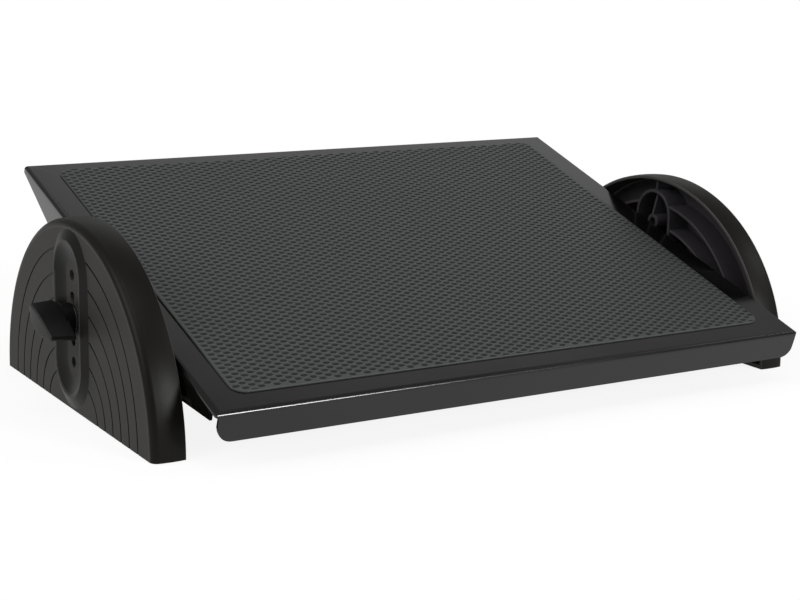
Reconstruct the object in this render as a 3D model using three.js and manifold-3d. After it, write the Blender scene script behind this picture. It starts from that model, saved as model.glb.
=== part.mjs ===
// Tilting under desk footrest: a folded steel pan with a rubber mat, carried between two half-round
// plastic side supports and clamped to each of them by a wing knob on a threaded stud.
// Millimetres, +X right, +Y away from the user, +Z up, the floor at Z = 0.
import * as THREE from 'three';
import { mergeVertices } from 'three/addons/utils/BufferGeometryUtils.js';
import Module from 'manifold-3d';

const wasm = await Module();
wasm.setup();

// Footplate
const plateWidth = 451.5;
const plateDepth = 334;
const sheet = 1.6;
const bendRadius = 3;
const plateSetBack = 2.3;
const lipDepth = 19.4;
const lipLean = 5;
const lipCorner = 10;
const lipInset = 1.5;
const backFlangeDepth = 6;
const earFrontDepth = 9;
const earRound = 21.5;
const cornerSlit = 4.4;
const restTilt = 17.7;

// Mat
const matSideMargin = 19;
const matFrontMargin = 15.2;
const matBackMargin = 11.5;
const matThickness = 1.3;
const matCorner = 14;
const matEdge = 0.4;

// Side support
const supportGap = 2.6;
const supportLength = 262;
const supportHeight = 124.8;
const supportDepth = 21.6;
const supportWall = 3;
const faceRounding = 5;
const mouthRounding = 0.8;
const archRibCount = 2;
const archRibInset = 27.5;
const archRibTopInset = 19.3;
const archRibPitch = 15.7;
const archRibTopPitch = 17.5;
const ribWall = 2;
const ribDrop = 2.5;
const grooveCount = 6;
const grooveInset = 22.5;
const grooveTopInset = 18.5;
const grooveSidePitch = 13;
const grooveTopPitch = 16;
const grooveWidth = 1.1;
const grooveDepth = 0.7;

// Boss, pocket and height holes of the side support
const holeCount = 5;
const holePitch = 14.3;
const middleHoleHeight = 60.5;
const holeRadius = 3.3;
const bossRadius = 30.4;
const bossRise = 2.9;
const crestRadius = 23.2;
const pocketRadius = 21.8;
const pocketFloorRadius = 9;
const pocketDepth = 1.2;
const pocketScoop = 1.3;
const coreRadius = 20;
const coreWall = 2.4;
const coreTopRise = 5.3;
const coreWebDrop = 4.6;
const tubeRadius = 6;

// Clamping parts
const knobLength = 42;
const knobFlare = 1.1;
const knobTipShare = 0.2;
const knobChamferShare = 0.3;
const knobThickness = 13;
const knobDepth = 19;
const knobDome = 2.5;
const knobRounding = 1.6;
const knobReach = 23.4;
const knobRestTurn = 20;
const collarRadius = 11;
const studRadius = 3;
const studGrip = 14;
const studBeyondNut = 3;
const knobWasherRadius = 9;
const knobWasherThickness = 1;
const frictionWasherRadius = 12;
const frictionWasherThickness = 1.6;
const nutAcrossFlats = 11;
const nutThickness = 6;
const pivotDepth = 28.5;

// Foot pads
const padLength = 34;
const padWidth = 14;
const padThickness = 2.1;
const padProud = 0.5;
const padCorner = 4;
const padReachShare = 0.78;

// Clearances and steps
const seatGap = 0.25;
const holeGap = 0.3;
const overrun = 2;
const roundSteps = 80;
const smallSteps = 20;
const bendSteps = 5;

const tilt = THREE.MathUtils.degToRad(restTilt);
const faceReach = plateWidth / 2 + supportGap + supportDepth;
const coreReach = supportDepth + supportGap - seatGap - frictionWasherThickness - seatGap;
const pivotHeight = padProud + middleHoleHeight;
const lowHole = middleHoleHeight - holePitch * (holeCount - 1) / 2;
const highHole = middleHoleHeight + holePitch * (holeCount - 1) / 2;

// Colours and finishes
const paintedSteel = { color: 0x4b4a48, roughness: 0.45, metalness: 0.3 };
const rubberMat = { color: 0x4d504d, roughness: 0.85, metalness: 0 };
const blackPlastic = { color: 0x2e2d2b, roughness: 0.5, metalness: 0 };
const knobPlastic = { color: 0x1d1c1c, roughness: 0.45, metalness: 0 };
const zincSteel = { color: 0xb2b5b8, roughness: 0.35, metalness: 0.9 };
const paleNylon = { color: 0xe4e1d8, roughness: 0.6, metalness: 0 };
const padRubber = { color: 0x181818, roughness: 0.9, metalness: 0 };

// A closed geometry as a solid for joining and cutting
function solidOf(geometry) {
  const bare = geometry.clone();
  bare.deleteAttribute('normal');
  bare.deleteAttribute('uv');
  const merged = mergeVertices(bare);
  const corners = [];
  for (let i = 0; i < merged.index.count; i += 3) {
    const [a, b, c] = [0, 1, 2].map((k) => merged.index.getX(i + k));
    if (a !== b && b !== c && c !== a) corners.push(a, b, c);
  }
  const vertProperties = Float32Array.from(merged.attributes.position.array);
  const triVerts = Uint32Array.from(corners);
  return new wasm.Manifold(new wasm.Mesh({ numProp: 3, vertProperties, triVerts }));
}

// The geometry of a solid
function geometryOf(solid) {
  const { vertProperties, triVerts } = solid.getMesh();
  const geometry = new THREE.BufferGeometry();
  geometry.setAttribute('position', new THREE.BufferAttribute(vertProperties, 3));
  geometry.setIndex(new THREE.BufferAttribute(triVerts, 1));
  geometry.computeVertexNormals();
  return geometry;
}

const joined = (...solids) => solids.reduce((whole, next) => whole.add(next));
const basis = (x, y, z) => new THREE.Matrix4().makeBasis(x, y, z);
const axisX = new THREE.Vector3(1, 0, 0);
const axisY = new THREE.Vector3(0, 1, 0);
const axisZ = new THREE.Vector3(0, 0, 1);

function outline(points) {
  return new THREE.Shape(points.map(([across, up]) => new THREE.Vector2(across, up)));
}

function prism(shape, depth, curveSegments = bendSteps) {
  return new THREE.ExtrudeGeometry(shape, { depth, bevelEnabled: false, curveSegments });
}

function extrudeAlongX(shape, from, to, curveSegments) {
  const geometry = prism(shape, to - from, curveSegments);
  return solidOf(geometry.applyMatrix4(basis(axisY, axisZ, axisX)).translate(from, 0, 0));
}

function extrudeAlongY(shape, from, to) {
  const geometry = prism(shape, to - from);
  return solidOf(geometry.applyMatrix4(basis(axisX, axisZ, axisY.clone().negate())).translate(0, to, 0));
}

const extrudeAlongZ = (shape, from, to) => solidOf(prism(shape, to - from).translate(0, 0, from));

// A profile of [radius, x] points, from the axis to the axis, turned about the X axis
function turnedGeometry(profile, steps) {
  const points = profile.map(([radius, x]) => new THREE.Vector2(radius, x));
  const geometry = new THREE.LatheGeometry(points, steps);
  return geometry.applyMatrix4(basis(axisY, axisX, axisZ.clone().negate()));
}

const turned = (profile, steps = smallSteps) => solidOf(turnedGeometry(profile, steps));

function disc(radius, from, to, steps = smallSteps) {
  return turned([[0, from], [radius, from], [radius, to], [0, to]], steps);
}

// The same profile carried round an obround whose two arc centres lie at these heights
function obround(profile, low, high, steps) {
  const ends = [low, high].map((height) => solidOf(turnedGeometry(profile, steps).translate(0, 0, height)));
  const right = profile.map(([radius, x]) => [x, radius]);
  const left = profile.slice(1, -1).reverse().map(([radius, x]) => [x, -radius]);
  return joined(...ends, extrudeAlongZ(outline([...right, ...left]), low, high));
}

function block(from, to) {
  const size = to.map((value, i) => value - from[i]);
  const geometry = new THREE.BoxGeometry(...size);
  return solidOf(geometry.translate(...from.map((value, i) => value + size[i] / 2)));
}

// Points of an arc from one angle to another, in degrees
function arc(centreAcross, centreUp, radius, start, end, steps = bendSteps) {
  return Array.from({ length: steps + 1 }, (_, i) => {
    const angle = THREE.MathUtils.degToRad(start + (end - start) * i / steps);
    return [centreAcross + radius * Math.cos(angle), centreUp + radius * Math.sin(angle)];
  });
}

function roundedRectangle(width, height, radius, steps = bendSteps) {
  const [x, y] = [width / 2 - radius, height / 2 - radius];
  const corners = [[x, y, 0], [-x, y, 90], [-x, -y, 180], [x, -y, 270]];
  return corners.flatMap(([cx, cy, start]) => arc(cx, cy, radius, start, start + 90, steps));
}

// Footplate: the plate's own frame has the pivot at its origin and the sheet level
const plateTop = pivotDepth;
const frontEdge = plateSetBack - plateDepth / 2;
const backEdge = plateSetBack + plateDepth / 2;

// A block with rounded upper edges, which is the pan's outside or inside; its front leans outwards
function panBlock(inset, radius) {
  const [halfWidth, top] = [plateWidth / 2 - inset, plateTop - inset];
  const foot = -earRound - overrun - inset;
  const roundTop = (from, to, lean) => {
    const start = arc(from + radius, top - radius, radius, 90, 180 - lean);
    const [bendEnd, up] = start.at(-1);
    const run = (up - foot) * Math.tan(THREE.MathUtils.degToRad(lean));
    return [[bendEnd - run, foot], [to, foot], ...arc(to - radius, top - radius, radius, 0, 90), ...start];
  };
  const across = extrudeAlongY(outline(roundTop(-halfWidth, halfWidth, 0)), -plateDepth, backEdge - inset);
  const sideView = outline(roundTop(frontEdge + inset, backEdge - inset, lipLean));
  const along = extrudeAlongX(sideView, -halfWidth, halfWidth);
  return across.intersect(along);
}

// Angle at which a line from a point runs along the underside of the ear's round, in degrees
function earTangent(across, down) {
  const distance = Math.hypot(across, down);
  const bearing = Math.atan2(down, across);
  const opening = Math.acos(earRound / distance) * Math.sign(across);
  return THREE.MathUtils.radToDeg(bearing - opening);
}

// What the press tool keeps of the side walls: straight slopes that run into a round about the pivot
function earOutline() {
  const slitEnd = frontEdge + sheet + cornerSlit;
  const [frontFoot, backFoot] = [plateTop - earFrontDepth, plateTop - backFlangeDepth];
  const start = earTangent(slitEnd, frontFoot);
  const end = earTangent(backEdge, backFoot);
  const startTurn = start < 0 ? start : start - 360;
  return outline([
    [frontEdge - overrun, plateTop + overrun],
    [frontEdge - overrun, plateTop - bendRadius],
    [slitEnd, plateTop - bendRadius],
    [slitEnd, frontFoot],
    ...arc(0, 0, earRound, startTurn, end, 2 * bendSteps),
    [backEdge, backFoot],
    [backEdge + overrun, backFoot],
    [backEdge + overrun, plateTop + overrun],
  ]);
}

function lipOutline() {
  const [half, foot] = [plateWidth / 2 - lipInset, plateTop - lipDepth];
  return outline([
    [half, plateTop - bendRadius / 2],
    [-half, plateTop - bendRadius / 2],
    ...arc(lipCorner - half, foot + lipCorner, lipCorner, 180, 270),
    ...arc(half - lipCorner, foot + lipCorner, lipCorner, 270, 360),
  ]);
}

function footplate() {
  const pan = panBlock(0, bendRadius).subtract(panBlock(sheet, bendRadius - sheet));
  const ears = extrudeAlongX(earOutline(), -plateWidth / 2 - overrun, plateWidth / 2 + overrun);
  const lip = extrudeAlongY(lipOutline(), frontEdge - lipDepth, frontEdge + sheet);
  const pivotHole = disc(studRadius + 2 * holeGap, -plateWidth, plateWidth);
  return pan.intersect(ears.add(lip)).subtract(pivotHole);
}

function footMat() {
  const width = plateWidth - 2 * matSideMargin;
  const depth = plateDepth - matFrontMargin - matBackMargin;
  const [flatWidth, flatDepth] = [width - 2 * matEdge, depth - 2 * matEdge];
  const border = roundedRectangle(flatWidth, flatDepth, matCorner - matEdge, 2 * bendSteps);
  const geometry = new THREE.ExtrudeGeometry(outline(border), {
    depth: matThickness - 2 * matEdge,
    bevelThickness: matEdge,
    bevelSize: matEdge,
    bevelSegments: 1,
  });
  const middle = plateSetBack + (matFrontMargin - matBackMargin) / 2;
  return solidOf(geometry.translate(0, middle, plateTop + seatGap + matEdge));
}

// Side support: x runs inwards from the outer face, y is level with the middle, z up from the underside
const halfLength = supportLength / 2;
const flatten = supportHeight / halfLength;

function flattened(profile, squash = flatten) {
  return solidOf(turnedGeometry(profile, roundSteps).scale(1, 1, squash));
}

const above = (height) => block(
  [-supportLength, -supportLength, height],
  [supportLength, supportLength, supportLength],
);

// What the dish's outer skin encloses, or a skin that lies further in
function dishOutside(inset = 0) {
  const edge = halfLength - inset;
  return flattened([
    [0, inset],
    ...arc(edge - faceRounding, inset + faceRounding, faceRounding, -90, 0),
    ...arc(edge - mouthRounding, supportDepth - mouthRounding, mouthRounding, 0, 90, 2),
    [0, supportDepth],
  ]);
}

// Half-round dish with a rounded face edge, open towards the footplate
function dish() {
  const innerRounding = faceRounding - supportWall;
  const inner = halfLength - supportWall;
  const inside = flattened([
    [0, supportWall],
    ...arc(inner - innerRounding, faceRounding, innerRounding, -90, 0, 2),
    [inner, supportDepth + overrun],
    [0, supportDepth + overrun],
  ]);
  return dishOutside().intersect(above(0)).subtract(inside.intersect(above(supportWall)));
}

// Nested arch grooves engraved in the outer face
function grooves() {
  const rings = Array.from({ length: grooveCount }, (_, i) => {
    const side = halfLength - grooveInset - grooveSidePitch * i;
    const top = supportHeight - grooveTopInset - grooveTopPitch * i;
    const ring = new THREE.Shape().absellipse(0, 0, side, top, 0, 2 * Math.PI);
    const inner = new THREE.Path().absellipse(0, 0, side - grooveWidth, top - grooveWidth, 0, 2 * Math.PI);
    ring.holes.push(inner);
    return extrudeAlongX(ring, -overrun, grooveDepth, roundSteps / 2);
  });
  return joined(...rings);
}

// Ribs that follow the arch inside the dish
function archRibs() {
  const ribs = Array.from({ length: archRibCount }, (_, i) => {
    const outer = halfLength - archRibInset - archRibPitch * i;
    const top = supportHeight - archRibTopInset - archRibTopPitch * i;
    const profile = [
      [outer - ribWall, supportWall / 2],
      [outer, supportWall / 2],
      [outer, supportDepth],
      [outer - ribWall, supportDepth],
      [outer - ribWall, supportWall / 2],
    ];
    return flattened(profile, top / outer);
  });
  return joined(...ribs).intersect(above(supportWall / 2));
}

// Webs that run to the rim: one each way, level with the lowest hole, and one at the top
function webs() {
  const back = supportDepth - ribDrop;
  const level = block(
    [supportWall / 2, -halfLength, lowHole - ribWall / 2],
    [back, halfLength, lowHole + ribWall / 2],
  );
  const top = block(
    [supportWall / 2, -ribWall / 2, highHole],
    [back, ribWall / 2, supportHeight],
  );
  return level.add(top).intersect(dishOutside(supportWall / 2));
}

// Raised ring round the pocket, on the outer face
function boss() {
  const profile = [
    [0, -bossRise],
    [crestRadius, -bossRise],
    [bossRadius, 0],
    [bossRadius, supportWall / 2],
    [0, supportWall / 2],
  ];
  return obround(profile, lowHole, highHole, roundSteps / 2).intersect(above(0));
}

// Scooped pocket in which the knob's collar stands
function pocket() {
  const steps = 4;
  const slope = Array.from({ length: steps + 1 }, (_, i) => {
    const share = i / steps;
    const radius = pocketFloorRadius + (pocketRadius - pocketFloorRadius) * share;
    return [radius, pocketDepth - (pocketDepth + bossRise) * share ** pocketScoop];
  });
  const profile = [[0, pocketDepth], ...slope, [crestRadius, -bossRise - overrun], [0, -bossRise - overrun]];
  return obround(profile.reverse(), lowHole, highHole, roundSteps / 2);
}

// Obround column behind the pocket, from one depth to another
function coreColumn(radius, from, to) {
  return obround(
    [[0, from], [radius, from], [radius, to], [0, to]], lowHole, highHole + coreTopRise, roundSteps / 2);
}

// Web between the tubes inside the core; its edge falls away towards both ends
function coreWeb() {
  const low = lowHole - coreRadius + ribWall;
  const high = highHole + coreTopRise + coreRadius - ribWall;
  const shape = outline([
    [supportWall, low],
    [coreReach - coreWebDrop, low],
    [coreReach, lowHole - tubeRadius],
    [coreReach, highHole + tubeRadius],
    [coreReach - coreWebDrop, high],
    [supportWall, high],
  ]);
  return extrudeAlongY(shape, -ribWall / 2, ribWall / 2);
}

function heightHoles(radius, from, to) {
  return Array.from({ length: holeCount }, (_, i) => {
    const profile = [[0, from], [radius, from], [radius, to], [0, to]];
    return solidOf(turnedGeometry(profile, smallSteps).translate(0, 0, lowHole + holePitch * i));
  });
}

const padPlaces = [-1, 1].map((end) => end * halfLength * padReachShare);

function padSolid(place, width, length, radius, from, to) {
  const geometry = prism(outline(roundedRectangle(width, length, radius)), to - from);
  return solidOf(geometry.translate(supportDepth / 2, place, from));
}

function sideSupport() {
  const core = coreColumn(coreRadius, supportWall / 2, coreReach);
  const hollow = coreColumn(coreRadius - coreWall, pocketDepth + supportWall, coreReach + overrun);
  const shell = joined(dish().subtract(grooves()), archRibs(), webs(), boss(), core).subtract(hollow);
  const solid = joined(shell, coreWeb(), ...heightHoles(tubeRadius, supportWall, coreReach));
  const holes = joined(...heightHoles(holeRadius, -overrun, coreReach + overrun));
  const recess = padThickness - padProud;
  const recesses = padPlaces.map((place) => padSolid(
    place, padWidth + 2 * holeGap, padLength + 2 * holeGap, padCorner + holeGap, -overrun, recess + seatGap));
  return solid.subtract(pocket()).subtract(holes).subtract(joined(...recesses));
}

// Lens-shaped outline with blunt tips: the upper side from one tip to the other, then the lower side back
function lens(length, thickness, steps = 10) {
  const upper = Array.from({ length: steps + 1 }, (_, i) => {
    const share = 1 - 2 * i / steps;
    const swell = knobTipShare + (1 - knobTipShare) * Math.cos(share * Math.PI / 2);
    return [share * length / 2, thickness / 2 * swell];
  });
  return [...upper, ...upper.map(([along, up]) => [-along, -up])];
}

// A solid through equal rings of points, each end closed by strips across from one side to the other
function loft(rings) {
  const count = rings[0].length;
  const lastRow = (rings.length - 1) * count;
  const corners = [];
  for (let row = 0; row < lastRow; row += count) {
    for (let i = 0; i < count; i += 1) {
      const [a, b] = [row + i, row + (i + 1) % count];
      corners.push(a, b, b + count, a, b + count, a + count);
    }
  }
  for (let i = 0; i < count / 2 - 1; i += 1) {
    const [a, b, c, d] = [i, i + 1, count - 2 - i, count - 1 - i];
    corners.push(a, d, c, a, c, b);
    corners.push(...[a, b, c, a, c, d].map((corner) => corner + lastRow));
  }
  const geometry = new THREE.BufferGeometry();
  geometry.setAttribute('position', new THREE.BufferAttribute(Float32Array.from(rings.flat(2)), 3));
  geometry.setIndex(corners);
  return solidOf(geometry);
}

// Knob: x runs inwards from the support's outer face, the wing lies along y and its outer end is domed
function knob() {
  const outer = -knobReach;
  const inner = outer + knobDepth;
  const ring = (x, length, inset, dome) => lens(length - 2 * inset, knobThickness - 2 * inset)
    .map(([along, up]) => [x + dome * (2 * along / length) ** 2, along, up]);
  const chamfer = knobRounding * knobChamferShare;
  const wing = loft([
    ring(outer, knobLength, knobRounding, knobDome),
    ring(outer + chamfer, knobLength, chamfer, knobDome),
    ring(outer + knobRounding, knobLength, 0, knobDome),
    ring(inner - knobRounding, knobLength * knobFlare, 0, 0),
    ring(inner, knobLength * knobFlare, knobRounding, 0),
  ]);
  const collarFoot = pocketDepth - 2 * seatGap - knobWasherThickness;
  const collar = disc(collarRadius, inner - 2 * knobRounding, collarFoot, 2 * smallSteps);
  const socket = disc(studRadius + holeGap, collarFoot - studGrip - seatGap, pocketDepth);
  return wing.add(collar).subtract(socket);
}

function ringDisc(outer, inner, from, to, steps = 2 * smallSteps) {
  return disc(outer, from, to, steps).subtract(disc(inner, from - overrun, to + overrun));
}

const earFace = supportDepth + supportGap;

function stud() {
  const from = pocketDepth - 2 * seatGap - knobWasherThickness - studGrip;
  const to = earFace + sheet + seatGap + nutThickness + studBeyondNut;
  return disc(studRadius, from, to);
}

const knobWasher = () => ringDisc(
  knobWasherRadius, studRadius + holeGap, pocketDepth - seatGap - knobWasherThickness, pocketDepth - seatGap);

function frictionWasher() {
  const from = coreReach + seatGap;
  return ringDisc(frictionWasherRadius, studRadius + holeGap, from, from + frictionWasherThickness);
}

// Hexagon nut on the ear's inner face, in the plate's own frame and for the left side
function weldNut() {
  const radius = nutAcrossFlats / Math.sqrt(3);
  const from = sheet + seatGap - plateWidth / 2;
  return disc(radius, from, from + nutThickness, 6)
    .subtract(disc(studRadius + holeGap, from - overrun, from + nutThickness + overrun));
}

// The assembly
function mesh(name, solid, look) {
  const piece = new THREE.Mesh(geometryOf(solid), new THREE.MeshStandardMaterial(look));
  piece.name = name;
  return piece;
}

function placed(piece, height, turn = 0) {
  piece.position.z = height;
  piece.rotation.x = turn;
  return piece;
}

// One side: the right side is the left one turned half round
function side(name, turn) {
  const group = new THREE.Group();
  const knobTurn = THREE.MathUtils.degToRad(turn === 0 ? knobRestTurn : -knobRestTurn);
  group.add(placed(mesh(`${name}_side_support`, sideSupport(), blackPlastic), padProud));
  group.add(placed(mesh(`${name}_knob`, knob(), knobPlastic), pivotHeight, knobTurn));
  group.add(placed(mesh(`${name}_knob_stud`, stud(), zincSteel), pivotHeight));
  group.add(placed(mesh(`${name}_knob_washer`, knobWasher(), zincSteel), pivotHeight));
  group.add(placed(mesh(`${name}_friction_washer`, frictionWasher(), paleNylon), pivotHeight));
  const ends = turn === 0 ? ['front', 'rear'] : ['rear', 'front'];
  padPlaces.forEach((place, i) => {
    const pad = padSolid(place, padWidth, padLength, padCorner, 0, padThickness);
    group.add(mesh(`${name}_${ends[i]}_foot_pad`, pad, padRubber));
  });
  for (const piece of group.children) piece.position.x = -faceReach;
  const turnedSide = new THREE.Group();
  turnedSide.rotation.z = turn;
  turnedSide.add(group);
  return turnedSide;
}

function tiltingPlatform() {
  const group = new THREE.Group();
  group.add(mesh('footplate', footplate(), paintedSteel));
  group.add(mesh('foot_mat', footMat(), rubberMat));
  group.add(mesh('left_weld_nut', weldNut(), zincSteel));
  const rightNut = mesh('right_weld_nut', weldNut(), zincSteel);
  rightNut.rotation.z = Math.PI;
  group.add(rightNut);
  return placed(group, pivotHeight, tilt);
}

const footrest = new THREE.Group();
footrest.add(side('left', 0), side('right', Math.PI), tiltingPlatform());

// The origin lies on the floor under the middle of the whole footrest
footrest.updateMatrixWorld(true);
const reach = new THREE.Box3().setFromObject(footrest, true);
footrest.position.y = -(reach.min.y + reach.max.y) / 2;

export default footrest;
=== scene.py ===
# Looks for the tilting under desk footrest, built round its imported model.
import math

import bmesh
import bpy
from mathutils import Matrix, Vector


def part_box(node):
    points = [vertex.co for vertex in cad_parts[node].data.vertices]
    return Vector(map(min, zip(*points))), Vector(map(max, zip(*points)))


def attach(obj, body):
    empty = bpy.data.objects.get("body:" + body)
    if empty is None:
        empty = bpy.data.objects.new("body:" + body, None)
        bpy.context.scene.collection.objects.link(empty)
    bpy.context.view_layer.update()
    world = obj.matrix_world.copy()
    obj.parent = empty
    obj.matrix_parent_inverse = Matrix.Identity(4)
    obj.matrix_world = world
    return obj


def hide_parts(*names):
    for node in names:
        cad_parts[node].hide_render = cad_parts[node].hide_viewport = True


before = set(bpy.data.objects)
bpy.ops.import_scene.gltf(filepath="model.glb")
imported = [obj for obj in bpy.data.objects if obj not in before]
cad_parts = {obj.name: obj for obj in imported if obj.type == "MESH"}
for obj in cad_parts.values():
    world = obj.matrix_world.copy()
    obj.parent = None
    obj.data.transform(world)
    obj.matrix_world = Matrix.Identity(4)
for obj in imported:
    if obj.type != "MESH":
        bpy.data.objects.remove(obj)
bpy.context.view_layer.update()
mm = 0.001
tiny = 1e-6   # metres, for telling whether a vertex lies on a plane
print("frame loaded:", len(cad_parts), "CAD nodes")


# Shader maths: a wrapped socket, so that sums and products read as Python
class Value:
    def __init__(self, finish, socket):
        self.finish = finish
        self.socket = socket

    def maths(self, operation, *terms):
        return self.finish.node("ShaderNodeMath", {"operation": operation}, dict(enumerate(terms)))

    def __add__(self, other):
        return self.maths("ADD", self, other)

    def __radd__(self, other):
        return self.maths("ADD", other, self)

    def __sub__(self, other):
        return self.maths("SUBTRACT", self, other)

    def __rsub__(self, other):
        return self.maths("SUBTRACT", other, self)

    def __mul__(self, other):
        return self.maths("MULTIPLY", self, other)

    def __rmul__(self, other):
        return self.maths("MULTIPLY", other, self)

    def larger(self, other):
        return self.maths("MAXIMUM", self, other)


# One finish: a Principled shader and the nodes that feed it
class Finish:
    def __init__(self, name, **fixed):
        self.material = bpy.data.materials.new(name)
        self.material.use_nodes = True
        self.tree = self.material.node_tree
        self.shader = self.tree.nodes["Principled BSDF"]
        for socket, value in fixed.items():
            self.shader.inputs[socket.replace("_", " ")].default_value = value
        self.coords = self.node("ShaderNodeTexCoord", out="Object")

    def node(self, kind, settings=None, inputs=None, out=0):
        node = self.tree.nodes.new(kind)
        for key, value in (settings or {}).items():
            setattr(node, key, value)
        for key, value in (inputs or {}).items():
            self.feed(node.inputs[key], value)
        return Value(self, node.outputs[out])

    def feed(self, socket, value):
        if isinstance(value, Value):
            self.tree.links.new(value.socket, socket)
        elif socket.type == "RGBA":
            socket.default_value = (*value, 1)
        else:
            socket.default_value = value

    def noise(self, size, detail=3, roughness=0.5):
        inputs = {"Vector": self.coords, "Scale": 1 / (size * mm), "Detail": detail, "Roughness": roughness}
        return self.node("ShaderNodeTexNoise", {}, inputs, out="Fac")

    # How far a noise lies to either side of its middle, times a share
    def swing(self, noise, share):
        return (noise - 0.5) * share

    def smooth(self, value, low, high, start=0, end=1):
        return self.node("ShaderNodeMapRange", {"interpolation_type": "SMOOTHSTEP"}, {
            "Value": value, "From Min": low, "From Max": high, "To Min": start, "To Max": end}, out="Result")

    def mix(self, mask, first, second):
        return self.node("ShaderNodeMix", {"data_type": "RGBA"}, {0: mask, 6: first, 7: second}, out=2)

    def shaded(self, colour, shade):
        grey = self.node("ShaderNodeCombineColor", {}, {"Red": shade, "Green": shade, "Blue": shade})
        settings = {"data_type": "RGBA", "blend_type": "MULTIPLY"}
        return self.node("ShaderNodeMix", settings, {0: 1.0, 6: colour, 7: grey}, out=2)

    def painted(self, name):
        return self.node("ShaderNodeAttribute", {"attribute_name": name}, out="Fac")

    def bump(self, height, distance, strength):
        return self.node("ShaderNodeBump", {}, {
            "Height": height, "Distance": distance * mm, "Strength": strength}, out="Normal")

    def done(self, colour, roughness, normal):
        for socket, value in (("Base Color", colour), ("Roughness", roughness), ("Normal", normal)):
            self.feed(self.shader.inputs[socket], value)
        return self.material


# Powder coat: near black, with a smooth skin that mirrors what stands near it
def paintedSteel():
    look = {
        "dark": (0.0016, 0.0015, 0.0014), "light": (0.0034, 0.0032, 0.0030), "rough": 0.15,
        "cloud": 45, "peel": 1.6, "grain": 0.4,   # sizes of the blotches, the orange peel and the powder
        "cloudShare": 0.6, "grainShare": 0.4, "toneLow": 0.35, "toneHigh": 0.65,
        "roughCloud": 0.06, "roughGrain": 0.05, "peelGrain": 0.3, "relief": 0.02, "reliefStrength": 0.12,
    }
    f = Finish("black powder coat", Specular_IOR_Level=0.46)
    cloud = f.noise(look["cloud"], 2)
    peel = f.noise(look["peel"], 2)
    grain = f.noise(look["grain"], 1)
    blotches = cloud * look["cloudShare"] + grain * look["grainShare"]
    tone = f.mix(f.smooth(blotches, look["toneLow"], look["toneHigh"]), look["dark"], look["light"])
    rough = look["rough"] + f.swing(cloud, look["roughCloud"]) + f.swing(grain, look["roughGrain"])
    skin = peel + grain * look["peelGrain"]
    return f.done(tone, rough, f.bump(skin, look["relief"], look["reliefStrength"]))


# Rubber whose dimples, marked on the mesh, take a painted shade darker than the land between them
def dimpledRubber():
    look = {
        "land": (0.0400, 0.0442, 0.0430), "wearAndHighlight": (0.032, 0.0357, 0.0346), "pitShade": (0.0018, 0.0020, 0.0020),
        "rough": 0.48, "grain": 0.35, "wear": 0.5, "cloud": 60, "roughCloud": 0.1,
        "relief": 0.04, "reliefStrength": 0.5,
    }
    f = Finish("dimpled black rubber", Specular_IOR_Level=0.32)
    grain = f.noise(look["grain"], 2)
    cloud = f.noise(look["cloud"], 2)
    land = f.mix(grain * look["wear"], look["land"], look["wearAndHighlight"])
    tone = f.mix(f.painted("pitShade"), land, look["pitShade"])
    rough = look["rough"] + f.swing(cloud, look["roughCloud"])
    return f.done(tone, rough, f.bump(grain, look["relief"], look["reliefStrength"]))


# Moulded plastic; "flat" faces take the paler tone as a painted sheen, "inside" ones the inner tone and
# "edge" ones a painted highlight
# The inner tone is painted light on the support's inner walls and painted shade on the knob's collar
def mouldedPlastic(name, dark, light, inner, wearAndHighlight, grain, rough, specular):
    look = {
        "stippleRoughness": 0.7, "cloud": 25, "speckle": (0.82, 1.12), "blotch": (0.94, 1.06),
        "flatRough": 0.18, "roughCloud": 0.08, "relief": 0.04, "reliefStrength": 0.35,
    }
    f = Finish(name, Specular_IOR_Level=specular)
    stipple = f.noise(grain, 2, look["stippleRoughness"])
    cloud = f.noise(look["cloud"], 3)
    speckle = f.smooth(stipple, 0.3, 0.75, *look["speckle"])
    shade = speckle * f.smooth(cloud, 0.2, 0.8, *look["blotch"])
    outside = f.mix(f.painted("flat"), dark, light)
    tone = f.mix(f.painted("edge"), f.mix(f.painted("inside"), outside, inner), wearAndHighlight)
    rougher = f.painted("flat") * look["flatRough"]
    return f.done(
        f.shaded(tone, shade), rougher + rough + f.swing(cloud, look["roughCloud"]),
        f.bump(stipple, look["relief"], look["reliefStrength"]))


def zincPlate():
    look = {"bluish": (0.52, 0.53, 0.55), "yellowish": (0.68, 0.67, 0.62), "cloud": 3, "grain": 0.3,
            "rough": 0.28, "roughGrain": 0.2, "relief": 0.02, "reliefStrength": 0.3}
    f = Finish("zinc plated steel", Metallic=1.0)
    cloud = f.noise(look["cloud"], 3)
    grain = f.noise(look["grain"], 2)
    tone = f.mix(f.smooth(cloud, 0.3, 0.7), look["bluish"], look["yellowish"])
    rough = look["rough"] + grain * look["roughGrain"]
    return f.done(tone, rough, f.bump(grain, look["relief"], look["reliefStrength"]))


def softRubber():
    look = {"dark": (0.010, 0.010, 0.010), "light": (0.018, 0.0175, 0.017), "grain": 0.5,
            "rough": 0.75, "roughGrain": 0.15, "relief": 0.05, "reliefStrength": 0.4}
    f = Finish("soft black rubber", Specular_IOR_Level=0.3)
    grain = f.noise(look["grain"], 2)
    tone = f.mix(f.smooth(grain, 0.3, 0.8), look["dark"], look["light"])
    rough = look["rough"] + grain * look["roughGrain"]
    return f.done(tone, rough, f.bump(grain, look["relief"], look["reliefStrength"]))


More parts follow.
